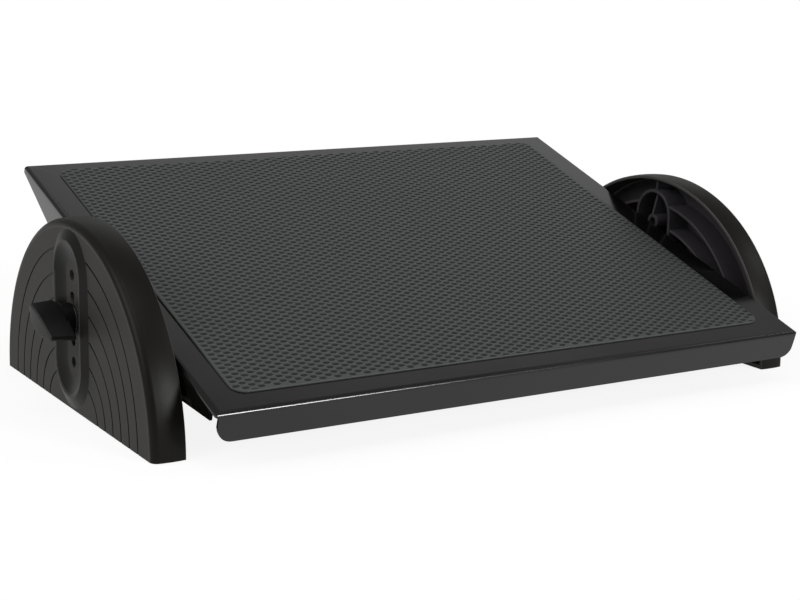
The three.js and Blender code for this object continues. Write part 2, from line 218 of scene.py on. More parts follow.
finishes = {
    "plate": paintedSteel(),
    "mat": dimpledRubber(),
    # The support's paler tone is a painted sheen, its inner tone a painted light and its last tone painted
    # highlights on edges
    "support": mouldedPlastic(
        "moulded black plastic", dark=(0.0046, 0.0040, 0.0034), light=(0.0262, 0.0251, 0.0232),
        inner=(0.0330, 0.0300, 0.0335), wearAndHighlight=(0.060, 0.058, 0.055), grain=0.7, rough=0.40, specular=0.11),
    # The knob's paler tone is a painted highlight on the wing's end, its inner tone a painted shade on the
    # collar
    "knob": mouldedPlastic(
        "satin knob plastic", dark=(0.0042, 0.0039, 0.0041), light=(0.028, 0.028, 0.0272),
        inner=(0.003, 0.003, 0.003), wearAndHighlight=(0.05, 0.05, 0.05), grain=0.5, rough=0.42, specular=0.14),
    "zinc": zincPlate(),
    "nylon": mouldedPlastic(
        "natural nylon", dark=(0.62, 0.60, 0.54), light=(0.66, 0.64, 0.58), inner=(0.60, 0.58, 0.52),
        wearAndHighlight=(0.72, 0.70, 0.64), grain=1.0, rough=0.5, specular=0.4),
    "pad": softRubber(),
}
print("finishes made:", len(finishes))


# Building blocks. Sizes come in millimetres; x runs inwards from a support's outer face, as in the CAD
facets = {"arch": 240, "boss": 96, "washer": 72, "collar": 64, "rod": 48, "bore": 40, "socket": 32}


def points(bm, places, closed=False):
    verts = [bm.verts.new((x * mm, radius * mm, 0)) for x, radius in places]
    ends = verts[1:] + verts[:1] if closed else verts[1:]
    return verts + [bm.edges.new(pair) for pair in zip(verts, ends)]


def arc(x, radius, size, start, end, steps):
    turns = [math.radians(start + (end - start) * i / steps) for i in range(steps + 1)]
    return [(x + size * math.cos(turn), radius + size * math.sin(turn)) for turn in turns]


# Doubles merged, normals outwards, and every element in the order of its place, so that each run is the same
def cleaned(bm):
    bmesh.ops.remove_doubles(bm, verts=bm.verts, dist=tiny / 10)
    bmesh.ops.recalc_face_normals(bm, faces=bm.faces)
    way = Vector((1, 1.37, 1.91))   # no two elements of a shape lie equally far along it
    bm.verts.sort(key=lambda vert: vert.co.dot(way))
    bm.edges.sort(key=lambda edge: (edge.verts[0].co + edge.verts[1].co).dot(way))
    bm.faces.sort(key=lambda face: face.calc_center_median().dot(way))
    return bm


# A profile of (x, radius) places turned full circle about the x axis
def turned(places, steps, closed=False):
    bm = bmesh.new()
    bmesh.ops.spin(
        bm, geom=points(bm, places, closed), cent=(0, 0, 0), axis=(1, 0, 0),
        angle=2 * math.pi, steps=steps, use_merge=True)
    return cleaned(bm)


# A turned shape drawn apart into an obround between two heights
def obround(places, low, high):
    bm = turned(places, facets["boss"])
    upper = [vert for vert in bm.verts if vert.co.z > -tiny]
    lower = [vert for vert in bm.verts if vert.co.z <= -tiny]
    bmesh.ops.translate(bm, vec=(0, 0, high * mm), verts=upper)
    bmesh.ops.translate(bm, vec=(0, 0, low * mm), verts=lower)
    return bm


# A turned shape pressed down, by a share that may depend on the radius
def squashed(bm, share):
    for vert in bm.verts:
        vert.co.z *= share(math.hypot(vert.co.y, vert.co.z) / mm)
    return bm


# What lies above a height, closed again where it was cut
def above(bm, height):
    geom = bm.verts[:] + bm.edges[:] + bm.faces[:]
    bmesh.ops.bisect_plane(bm, geom=geom, plane_co=(0, 0, height * mm), plane_no=(0, 0, 1), clear_inner=True)
    bmesh.ops.holes_fill(bm, edges=[edge for edge in bm.edges if edge.is_boundary])
    return cleaned(bm)


# A block whose upright edges take a corner radius, and whose other sharp edges may be softened
def block(bm, low, high, corner=0.0, softness=0.0):
    size = [(b - a) * mm for a, b in zip(low, high)]
    centre = [(a + b) / 2 * mm for a, b in zip(low, high)]
    made = bmesh.ops.create_cube(bm, size=1)["verts"]
    bmesh.ops.scale(bm, vec=size, verts=made)
    bmesh.ops.translate(bm, vec=centre, verts=made)
    if corner:
        upright = [edge for edge in bm.edges if abs(edge.verts[0].co.z - edge.verts[1].co.z) > 0.9 * size[2]]
        bevelled(bm, upright, corner, 6)
    if softness:
        rims = [edge for edge in bm.edges if edge.calc_face_angle(0) > 1]
        bevelled(bm, rims, softness, 3)
    return bm


def bevelled(bm, geom, offset, segments, affect="EDGES", **more):
    shape = {"offset": offset * mm, "segments": segments, "profile": 0.5, "affect": affect}
    bmesh.ops.bevel(bm, geom=geom, material=-1, **shape, **more)


def vertsOf(geom):
    return [item for item in geom if isinstance(item, bmesh.types.BMVert)]


def copies(bm, heights):
    bmesh.ops.translate(bm, vec=(0, 0, heights[0] * mm), verts=bm.verts[:])
    first = bm.verts[:] + bm.edges[:] + bm.faces[:]
    for height in heights[1:]:
        twin = vertsOf(bmesh.ops.duplicate(bm, geom=first)["geom"])
        bmesh.ops.translate(bm, vec=(0, 0, (height - heights[0]) * mm), verts=twin)
    return bm


# Several loose shapes in one bmesh
def together(shapes):
    bm = bmesh.new()
    for shape in shapes:
        mesh = bpy.data.meshes.new("part")
        shape.to_mesh(mesh)
        shape.free()
        bm.from_mesh(mesh)
    return bm


# An outline of a few vertices drawn out along the X or the Y axis
def extruded(outline, axis, low, high):
    bm = bmesh.new()
    start = {"x": lambda a, b: (low, a, b), "y": lambda a, b: (a, low, b)}[axis]
    sheet = bm.faces.new([bm.verts.new(Vector(start(a, b)) * mm) for a, b in outline])
    grown = vertsOf(bmesh.ops.extrude_face_region(bm, geom=[sheet])["geom"])
    way = (high - low, 0, 0) if axis == "x" else (0, high - low, 0)
    bmesh.ops.translate(bm, vec=Vector(way) * mm, verts=grown)
    return cleaned(bm)


# A solid after a row of joins and cuts with others
def carved(start, *steps):
    mesh = bpy.data.meshes.new("carved")
    start.to_mesh(mesh)
    start.free()
    work = bpy.data.objects.new("carved", mesh)
    bpy.context.collection.objects.link(work)
    tools = []
    for operation, tool in steps:
        toolMesh = bpy.data.meshes.new("tool")
        tool.to_mesh(toolMesh)
        tool.free()
        tools.append(bpy.data.objects.new("tool", toolMesh))
        bpy.context.collection.objects.link(tools[-1])
        modifier = work.modifiers.new(operation, "BOOLEAN")
        modifier.operation, modifier.solver, modifier.object = operation, "EXACT", tools[-1]
    bpy.context.view_layer.update()
    result = bpy.data.meshes.new_from_object(work.evaluated_get(bpy.context.evaluated_depsgraph_get()))
    for used in [work, *tools]:
        bpy.data.objects.remove(used)
    bm = bmesh.new()
    bm.from_mesh(result)
    return cleaned(bm)


# The object that shows a finished bmesh, placed by a matrix, with soft edges below the sharp angle
def piece(name, bm, place, body, slotName, *replaced, sharpAngle=32):
    bm.transform(place)
    for face in bm.faces:
        face.smooth = True
    for edge in bm.edges:
        edge.smooth = edge.is_manifold and edge.calc_face_angle() < math.radians(sharpAngle)
    mesh = bpy.data.meshes.new(name)
    bm.to_mesh(mesh)
    bm.free()
    mesh.materials.append(finishes[slotName])
    made = bpy.data.objects.new(name, mesh)
    bpy.context.collection.objects.link(made)
    weighted = made.modifiers.new("face weights", "WEIGHTED_NORMAL")
    weighted.keep_sharp = True
    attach(made, body)
    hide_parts(*replaced)
    return made


# Writes a test's share on each face of a mesh, as an attribute that the finish reads
def paint(made, name, share):
    layer = made.data.attributes.new(name, "FLOAT", "FACE")
    layer.data.foreach_set("value", [share(face.center / mm, face.normal) for face in made.data.polygons])


supportLow, supportHigh = (Vector(corner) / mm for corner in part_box("left_side_support"))
bossRise = 2.9   # the boss stands out from the face, and the box holds it
face = supportLow.x + bossRise
middle = (supportLow.y + supportHigh.y) / 2
underside = supportLow.z
halfLength = (supportHigh.y - supportLow.y) / 2
flatten = (supportHigh.z - supportLow.z) / halfLength


# From a support's own frame to the scene; the right side is the left one turned half round
def sidePlace(side, height=underside, turn=0.0):
    own = Matrix.Translation(Vector((face, 0, height)) * mm) @ Matrix.Rotation(math.radians(turn), 4, "X")
    half = Matrix.Rotation(0 if side == "left" else math.pi, 4, "Z")
    return Matrix.Translation(Vector((0, middle, 0)) * mm) @ half @ own


holes = {"count": 5, "pitch": 14.3, "middle": 60.5, "radius": 3.3, "tube": 6}
holeHeights = [
    holes["middle"] + holes["pitch"] * (i - (holes["count"] - 1) / 2) for i in range(holes["count"])]
lowHole, highHole = holeHeights[0], holeHeights[-1]
padShare = 0.78   # of the half length, where a pad's middle lies
coreReach = 22.1   # where the support's core ends


# Side support: dish with engraved arches, raised boss, scooped pocket and ribbed inside
def sidePanel():
    sizes = {
        "depth": 21.6, "wall": 3, "faceRounding": 5, "faceEdge": 0.9, "crown": 0.5, "crownSteps": 4,
        "mouthRounding": 0.8, "edge": 0.35, "past": 0.1,   # how far a cutter runs on past a surface
        "grooves": 6, "grooveSide": 108.5, "grooveTop": 106.3, "sidePitch": 13, "topPitch": 16,
        "grooveWidth": 1.1, "grooveDepth": 0.75, "grooveLip": 0.15,
        "ribs": ((103.5, 105.5), (87.8, 88.0)), "ribWall": 2, "ribDrop": 0.15,
        "webBack": 19.1, "webShare": 0.95,
        "boss": 30.4, "crest": 23.2, "crestDrop": 0.1, "bossFoot": ((-0.2, -0.5), (0.03, 0.4)),
        "pocket": 21.8, "pocketFloor": 9, "pocketDepth": 1.2, "pocketPast": 0.2,
        "scoop": 1.3, "scoopSteps": 12,
        "core": 20, "coreWall": 2.4, "coreRise": 5.3, "coreWebDrop": 4.6, "tubeRise": 0.02, "borePast": 0.05,
        "padLength": 34.6, "padWidth": 14.6, "padCorner": 4.3, "padDepth": 1.85, "padPast": 2,
    }
    depth, wall, edge, past = sizes["depth"], sizes["wall"], sizes["edge"], sizes["past"]
    width, deep, lip = sizes["grooveWidth"], sizes["grooveDepth"], sizes["grooveLip"]
    rib, rise, reach, arch = sizes["ribWall"], bossRise, coreReach, facets["arch"]
    grooves = [(sizes["grooveSide"] - sizes["sidePitch"] * i, sizes["grooveTop"] - sizes["topPitch"] * i)
               for i in range(sizes["grooves"])]
    outside = [(0, 0)]
    for side, _ in reversed(grooves):
        outside += [(0, side - width - lip), (lip, side - width), (deep - lip, side - width + lip / 2)]
        outside += [(deep, side - width + 2 * lip), (deep, side - 2 * lip)]
        outside += [(deep - lip, side - lip / 2), (lip, side), (0, side + lip)]
    rounding, rim, crown, crownSteps = (
        sizes[key] for key in ("faceRounding", "mouthRounding", "crown", "crownSteps"))
    shoulder = halfLength - crown
    outside += [(0, shoulder - rounding - sizes["faceEdge"])]
    outside += arc(rounding, shoulder - rounding, rounding, 180, 90, 9)
    half = (depth - rim - rounding) / 2
    outside += [(rounding + half * (1 + i / crownSteps), halfLength - crown * (i / crownSteps) ** 2)
                for i in range(1 - crownSteps, crownSteps)]
    outside += [*arc(depth - rim, shoulder - rim, rim, 90, 0, 4), (depth, 0)]

    def grooveShare(radius):
        for side, top in grooves:
            if abs(radius - side + width / 2) < width:
                return (top - side + radius) / radius
        return flatten

    body = above(squashed(turned(outside, arch), grooveShare), 0)
    inner, innerRounding = halfLength - wall, rounding - wall
    cavity = [(wall, 0), *arc(rounding, inner - innerRounding, innerRounding, 180, 90, 4)]
    cavity += [(depth - 2 * edge, inner), (depth - edge / 2, inner + edge / 2)]
    cavity += [(depth + past, inner + 2 * edge), (depth + wall, inner + 2 * edge), (depth + wall, 0)]
    hollow = above(squashed(turned(cavity, arch), lambda radius: flatten), wall)

    hoops = []
    for side, top in sizes["ribs"]:
        low, back = side - rib, depth - sizes["ribDrop"]
        ring = [(wall / 2, low), (wall / 2, side), (back - edge, side), (back, side - edge),
                (back, low + edge), (back - edge, low)]
        hoop = squashed(turned(ring, arch, closed=True), lambda radius, share=top / side: share)
        hoops.append(above(hoop, wall / 2))
    ribs = together(hoops)
    webs, half, start = bmesh.new(), rib / 2, wall / 2 + past
    back, ends = sizes["webBack"], halfLength * sizes["webShare"]
    block(webs, (start, -ends, lowHole - half), (back, ends, lowHole + half))
    block(webs, (start, -half, highHole), (back, half, halfLength * flatten - wall / 2))

    crest, boss = sizes["crest"], sizes["boss"]
    bossFoot = [(x, boss + radius) for x, radius in sizes["bossFoot"]]
    bossEnd = bossFoot[-1][1]
    bossProfile = [(-rise, 0), (-rise, crest - edge), (sizes["crestDrop"] - rise, crest), *bossFoot]
    ring = obround([*bossProfile, (wall / 2, bossEnd), (wall / 2, 0)], lowHole, highHole)
    coreHigh, core = highHole + sizes["coreRise"], sizes["core"]
    column = obround(
        [(wall / 2, 0), (wall / 2, core), (reach - edge, core), (reach, core - edge), (reach, 0)],
        lowHole, coreHigh)
    well, floor = core - sizes["coreWall"], sizes["pocketDepth"] + wall
    coreHollow = obround(
        [(floor, 0), (floor, well - edge), (floor + edge, well), (reach - edge, well),
         (reach + past, well + edge), (reach + wall, well + edge), (reach + wall, 0)], lowHole, coreHigh)
    drop, low, high, tubeRadius = sizes["coreWebDrop"], lowHole - well, coreHigh + well, holes["tube"]
    coreWeb = extruded(
        [(wall, low), (reach - drop, low), (reach, lowHole - tubeRadius), (reach, highHole + tubeRadius),
         (reach - drop, high), (wall, high)], "y", -half, half)
    tubeEnd = reach + sizes["tubeRise"]
    tube = [(wall, 0), (wall, tubeRadius), (reach - edge, tubeRadius), (tubeEnd, tubeRadius - edge)]
    tube += [(tubeEnd, 0)]
    tubes = copies(turned(tube, facets["bore"]), holeHeights)

    low, steps, wide = sizes["pocketDepth"], sizes["scoopSteps"], sizes["pocket"]
    span = wide - sizes["pocketFloor"]
    scoop = [(low - (low + rise) * (i / steps) ** sizes["scoop"], sizes["pocketFloor"] + span * i / steps)
             for i in range(steps + 1)]
    pocket = obround(
        [(low, 0), *scoop, (-rise - sizes["pocketPast"], wide + edge), (-2 * rise, wide + edge),
         (-2 * rise, 0)], lowHole, highHole)
    bore = holes["radius"]
    through = [(-2 * rise, 0), (-2 * rise, bore + edge), (low, bore + edge), (low + edge, bore),
               (reach - edge, bore), (reach + sizes["borePast"], bore + edge), (reach + wall, bore + edge),
               (reach + wall, 0)]
    drilled = copies(turned(through, facets["bore"]), holeHeights)
    recesses, halfPad = [], (sizes["padWidth"] / 2, sizes["padLength"] / 2)
    for end in (-1, 1):
        place = end * halfLength * padShare
        recesses.append(block(
            bmesh.new(), (depth / 2 - halfPad[0], place - halfPad[1], -sizes["padPast"]),
            (depth / 2 + halfPad[0], place + halfPad[1], sizes["padDepth"]), corner=sizes["padCorner"]))
    return carved(
        body, ("DIFFERENCE", hollow), ("UNION", ribs), ("UNION", webs), ("UNION", ring), ("UNION", column),
        ("DIFFERENCE", coreHollow), ("UNION", coreWeb), ("UNION", tubes), ("DIFFERENCE", pocket),
        ("DIFFERENCE", drilled), ("DIFFERENCE", together(recesses)))


# Where the support's finish and its painted sheen, light and highlights change, as depths behind its face
# and distances in from its arch
finishZones = {
    "flatDepth": 1.4, "flatFacing": 0.985, "insideDepth": 2.5, "insideRim": 1.2, "insideFoot": 0.1,
    "rimDepth": 0.4, "rimOuter": 5.3, "rimInner": 6.5, "rimHighlight": 0.55,
    "crestDepth": 0.2, "crestHighlight": 0.35, "facing": 0.8,
    "mouthDepth": 21.1, "mouthFacing": 0.3, "mouthRim": 4, "mouthHighlight": 0.9, "ribHighlight": 0.15,
}


# Where a point of a support lies: its depth behind the face and its radius on the arch
def onSupport(centre):
    return abs(face) - abs(centre.x), math.hypot(centre.y - middle, (centre.z - underside) / flatten)


# How far a face looks away from the footplate
def outwardShare(centre, normal):
    return normal.x * math.copysign(1, centre.x)


# Painted sheen: near the face plane, faces that look straight out take the paler tone; slopes and the rim
# keep the dark one
def flatShare(centre, normal):
    depth, _ = onSupport(centre)
    flat = depth < finishZones["flatDepth"] and outwardShare(centre, normal) > finishZones["flatFacing"]
    return 1.0 if flat else 0.0


# Painted light: the walls inside the dish take the paler inner tone
def insideShare(centre, normal):
    depth, radius = onSupport(centre)
    inRim = radius < halfLength - finishZones["insideRim"]
    inFoot = centre.z > underside + finishZones["insideFoot"]
    return 1.0 if depth > finishZones["insideDepth"] and inRim and inFoot else 0.0


# Painted highlights: thin strips at the face's edge, on the boss's crest, on the mouth's rim and on the
# ribs' edges
def edgeShare(centre, normal):
    depth, radius = onSupport(centre)
    zones = finishZones
    outwards, inset = outwardShare(centre, normal), halfLength - radius
    onRim = abs(depth) < zones["rimDepth"] and zones["rimOuter"] < inset < zones["rimInner"]
    if onRim and outwards > zones["facing"]:
        return zones["rimHighlight"]
    if depth < zones["crestDepth"] - bossRise and outwards > zones["facing"]:
        return zones["crestHighlight"]
    if depth > zones["mouthDepth"] and outwards < -zones["mouthFacing"]:
        return zones["mouthHighlight"] if inset < zones["mouthRim"] else zones["ribHighlight"]
    return 0.0


panel = sidePanel()
print("side support carved:", len(panel.faces), "faces")
for side in ("left", "right"):
    place = sidePlace(side)
    made = piece(f"{side}SidePanel", panel.copy(), place, "base", "support", f"{side}_side_support")
    # The support's painted sheen, inner painted light and painted edge highlights
    paint(made, "flat", flatShare)
    paint(made, "inside", insideShare)
    paint(made, "edge", edgeShare)
panel.free()


# Wing knob: a lens-shaped wing with a domed end, on a round collar
def wingKnob():
    sizes = {
        "length": 42, "thickness": 13, "reach": 23.4, "depth": 19, "dome": 2.5, "flare": 1.1, "tip": 0.2,
        "rounding": 1.5, "collar": 11, "collarFoot": -0.3, "collarEdge": 0.5, "collarStart": 3,
        "socket": 3.3, "socketDepth": 14, "past": 1,
    }
    bm = bmesh.new()
    bmesh.ops.create_grid(bm, x_segments=24, y_segments=2, size=0.5)
    for vert in bm.verts:
        along, up = vert.co.x, vert.co.y
        swell = sizes["tip"] + (1 - sizes["tip"]) * math.cos(along * math.pi)
        vert.co = Vector((-sizes["reach"], along * sizes["length"], up * sizes["thickness"] * swell)) * mm
    inner = vertsOf(bmesh.ops.extrude_face_region(bm, geom=bm.faces[:])["geom"])
    bmesh.ops.translate(bm, vec=(sizes["depth"] * mm, 0, 0), verts=inner)
    bmesh.ops.scale(bm, vec=(1, sizes["flare"], 1), verts=inner)
    for vert in set(bm.verts) - set(inner):
        vert.co.x += sizes["dome"] * (2 * vert.co.y / mm / sizes["length"]) ** 2 * mm
    cleaned(bm)
    rims = [edge for edge in bm.edges if edge.calc_face_angle(0) > 0.8]
    bevelled(bm, rims, sizes["rounding"], 5, clamp_overlap=True)
    start = sizes["depth"] - sizes["reach"] - sizes["collarStart"]
    foot, radius, edge, bore = (sizes[key] for key in ("collarFoot", "collar", "collarEdge", "socket"))
    collar = turned([(start, 0), (start, radius), (foot - edge, radius), (foot, radius - edge), (foot, 0)],
                    facets["collar"])
    deep, mouth = foot - sizes["socketDepth"], foot + sizes["past"]
    socket = turned([(deep, 0), (deep, bore), (mouth, bore), (mouth, 0)], facets["socket"])
    return carved(bm, ("UNION", collar), ("DIFFERENCE", socket))


# Threaded rod: one pitch of the thread's profile wound along the axis, then cut to length
def threadedStud():
    sizes = {"from": -13.3, "to": 35.05, "crest": 3.0, "root": 2.45, "pitch": 1.0, "steps": 20, "cut": 0.35,
             "crestPast": 0.2, "endPast": 1}
    bm = bmesh.new()
    first, last, pitch, steps = (sizes[key] for key in ("from", "to", "pitch", "steps"))
    crest, root = sizes["crest"], sizes["root"]
    start = first - 2 * pitch
    turns = math.ceil((last - start) / pitch) + 1
    shape = [(0, root), (0.12, root), (0.45, crest), (0.58, crest), (0.9, root), (1, root)]
    bmesh.ops.spin(
        bm, geom=points(bm, [(start + pitch * share, radius) for share, radius in shape]), cent=(0, 0, 0),
        axis=(1, 0, 0), dvec=(pitch / steps * mm, 0, 0), angle=2 * math.pi * turns, steps=steps * turns)
    cleaned(bm)
    for x, side in ((first, -1), (last, 1)):
        geom = bm.verts[:] + bm.edges[:] + bm.faces[:]
        bmesh.ops.bisect_plane(
            bm, geom=geom, plane_co=(x * mm, 0, 0), plane_no=(side, 0, 0), clear_outer=True)
    bmesh.ops.holes_fill(bm, edges=[edge for edge in bm.edges if edge.is_boundary])
    cleaned(bm)
    cut, over, past = sizes["cut"], crest + sizes["crestPast"], sizes["endPast"]
    ends = [(first - past, 0), (first, crest - cut), (first + cut, over)]
    ends += [(last - cut, over), (last, crest - cut), (last + past, 0)]
    return carved(bm, ("INTERSECT", turned(ends, facets["rod"])))


def washer(inner, outer, low, high):
    soft = 0.15
    ring = [(low, inner + soft), (low, outer - soft), (low + soft, outer), (high - soft, outer)]
    ring += [(high, outer - soft), (high, inner + soft), (high - soft, inner), (low + soft, inner)]
    return turned(ring, facets["washer"], closed=True)


def hexNut():
    sizes = {"from": 26.05, "thickness": 6, "acrossFlats": 11, "bore": 3.3, "chamfer": 0.6, "crown": 1.1,
             "past": 1, "clear": 0.05, "edge": 0.4}
    low, high = sizes["from"], sizes["from"] + sizes["thickness"]
    corner = sizes["acrossFlats"] / math.sqrt(3)
    prism = turned([(low, 0), (low, corner), (high, corner), (high, 0)], 6)
    flat, wide, chamfer = corner - sizes["crown"], corner + sizes["clear"], sizes["chamfer"]
    barrel = turned(
        [(low, 0), (low, flat), (low + chamfer, wide), (high - chamfer, wide), (high, flat), (high, 0)],
        facets["washer"])
    bore, edge, past = sizes["bore"], sizes["edge"], sizes["past"]
    drill = turned(
        [(low - past, 0), (low - past, bore + edge), (low, bore + edge), (low + edge, bore),
         (high - edge, bore), (high, bore + edge), (high + past, bore + edge), (high + past, 0)],
        facets["bore"])
    return carved(prism, ("INTERSECT", barrel), ("DIFFERENCE", drill))


# Foot pad with treads across its underside
def footPad(place):
    sizes = {"middle": 10.8, "length": 34, "width": 14, "thickness": 2.1, "corner": 4, "soft": 0.3,
             "treads": 7, "tread": 1.2, "treadDepth": 0.6, "past": 1}
    x, wide, half = sizes["middle"], sizes["width"], sizes["length"] / 2
    pad = block(
        bmesh.new(), (x - wide / 2, place - half, 0), (x + wide / 2, place + half, sizes["thickness"]),
        corner=sizes["corner"], softness=sizes["soft"])
    treads = bmesh.new()
    for i in range(sizes["treads"]):
        y = place + (i - (sizes["treads"] - 1) / 2) * sizes["length"] / (sizes["treads"] + 1)
        block(treads, (x - wide, y - sizes["tread"] / 2, -sizes["past"]),
              (x + wide, y + sizes["tread"] / 2, sizes["treadDepth"]))
    return carved(pad, ("DIFFERENCE", treads))


# How far a place on a knob stands out from the support's face
def standsOut(centre):
    return abs(centre.x) - abs(face)


# Painted highlight: the wing's end takes the knob's paler tone
def knobEndShare(centre, normal):
    return 1.0 if standsOut(centre) > clamping["knobEnd"] else 0.0


# Painted shade: the collar, deep in the pocket, takes the knob's darkest tone
def collarShare(centre, normal):
    return 1.0 if standsOut(centre) < clamping["collarDepth"] else 0.0


clamping = {
    "knobTurn": 20, "knobEnd": 20, "collarDepth": 4,   # the wing's end takes a painted highlight, its collar a painted shade
    "washerOuter": 9, "washerFrom": -0.05, "washerTo": 0.95,
    "frictionOuter": 12, "frictionFrom": 0.25, "frictionTo": 1.85,   # behind the core's end
}
pivotHeight = underside + holes["middle"]
tilt = 17.7
for side, sign in (("left", 1), ("right", -1)):
    level = sidePlace(side, pivotHeight)
    knobPlace = sidePlace(side, pivotHeight, sign * clamping["knobTurn"])
    knob = piece(f"{side}WingKnob", wingKnob(), knobPlace, f"{side}_knob", "knob", f"{side}_knob")
    paint(knob, "flat", knobEndShare)
    paint(knob, "inside", collarShare)
    piece(f"{side}ThreadedStud", threadedStud(), level, f"{side}_knob", "zinc", f"{side}_knob_stud")
    knobWasher = washer(
        holes["radius"], clamping["washerOuter"], clamping["washerFrom"], clamping["washerTo"])
    piece(f"{side}KnobWasher", knobWasher, level, f"{side}_washer", "zinc", f"{side}_knob_washer")
    frictionWasher = washer(
        holes["radius"], clamping["frictionOuter"], coreReach + clamping["frictionFrom"],
        coreReach + clamping["frictionTo"])
    piece(f"{side}FrictionWasher", frictionWasher, level, "base", "nylon", f"{side}_friction_washer")
    nutPlace = sidePlace(side, pivotHeight, sign * tilt)
    piece(f"{side}WeldNut", hexNut(), nutPlace, "platform", "zinc", f"{side}_weld_nut")
    for end, way in (("front", -1), ("rear", 1)):
        pad, place = footPad(sign * way * halfLength * padShare), sidePlace(side, 0)
        piece(f"{side}{end.capitalize()}Pad", pad, place, "base", "pad", f"{side}_{end}_foot_pad")
print("knobs, studs, washers, nuts and pads made")


# Folded plate: a pan with rounded bends, of which the ears, the lip and the back flange stay
def foldedPlate():
    sizes = {
        "width": 451.5, "front": -166.4, "back": 169.3, "top": 28.5, "sheet": 1.6, "bend": 3.4, "steps": 8,
        "lip": 19.4, "lean": 5, "lipCorner": 10, "lipInset": 1.5, "backFlange": 6, "earStart": -158.7,
        "earFront": 9, "earRound": 21.5, "hole": 3.6, "cutEdge": 0.25, "planCorner": 6, "planSide": 0.3,
        "lipReach": 1.9, "past": 2, "sharp": 40,
    }
    top, front, back, steps, past = (sizes[key] for key in ("top", "front", "back", "steps", "past"))
    halfWidth = sizes["width"] / 2

    def panBlock(inset, radius):
        low = -sizes["earRound"] - past - inset

        def roundTop(start, end, lean):
            bend = arc(start + radius, top - inset - radius, radius, 90, 180 - lean, steps)
            across, up = bend[-1]
            run = (up - low) * math.tan(math.radians(lean))
            backBend = arc(end - radius, top - inset - radius, radius, 0, 90, steps)
            return [(across - run, low), (end, low), *backBend, *bend]

        side = roundTop(front + inset, back - inset, sizes["lean"])
        cross = roundTop(inset - halfWidth, halfWidth - inset, 0)
        return carved(
            extruded(cross, "y", 2 * front, back + past / 2),
            ("INTERSECT", extruded(side, "x", -halfWidth - past / 2, halfWidth + past / 2)))

    def earTangent(across, down):
        opening = math.acos(sizes["earRound"] / math.hypot(across, down)) * math.copysign(1, across)
        return math.degrees(math.atan2(down, across) - opening)

    earStart, frontFoot, backFoot = sizes["earStart"], top - sizes["earFront"], top - sizes["backFlange"]
    start, end = earTangent(earStart, frontFoot), earTangent(back, backFoot)
    under = top - sizes["bend"]
    ears = extruded(
        [(front - past, top + past), (front - past, under), (earStart, under), (earStart, frontFoot),
         *arc(0, 0, sizes["earRound"], start if start < 0 else start - 360, end, 4 * steps),
         (back, backFoot), (back + past, backFoot), (back + past, top + past)],
        "x", -halfWidth - past, halfWidth + past)
    half, foot, corner = halfWidth - sizes["lipInset"], top - sizes["lip"], sizes["lipCorner"]
    lip = extruded(
        [(half, top - past / 2), (-half, top - past / 2),
         *arc(corner - half, foot + corner, corner, 180, 270, steps),
         *arc(half - corner, foot + corner, corner, 270, 360, steps)],
        "y", front - sizes["lip"], front + sizes["sheet"])
    ends = halfWidth + past
    hole = turned([(-ends, 0), (-ends, sizes["hole"]), (ends, sizes["hole"]), (ends, 0)], facets["bore"])
    wide = halfWidth + sizes["planSide"]
    plan = block(
        bmesh.new(), (-wide, front - sizes["lipReach"], -halfWidth), (wide, back + halfWidth, halfWidth),
        corner=sizes["planCorner"])
    inside = panBlock(sizes["sheet"], sizes["bend"] - sizes["sheet"])
    pan = carved(
        panBlock(0, sizes["bend"]), ("DIFFERENCE", inside), ("INTERSECT", carved(ears, ("UNION", lip))),
        ("INTERSECT", plan), ("DIFFERENCE", hole))
    made = piece("foldedPlate", pan, platePlace, "platform", "plate", "footplate", sharpAngle=sizes["sharp"])
    broken = made.modifiers.new("broken edges", "BEVEL")
    broken.width = sizes["cutEdge"] * mm
    broken.segments = 2
    broken.limit_method = "ANGLE"
    broken.angle_limit = math.radians(sizes["sharp"])
    broken.harden_normals = True


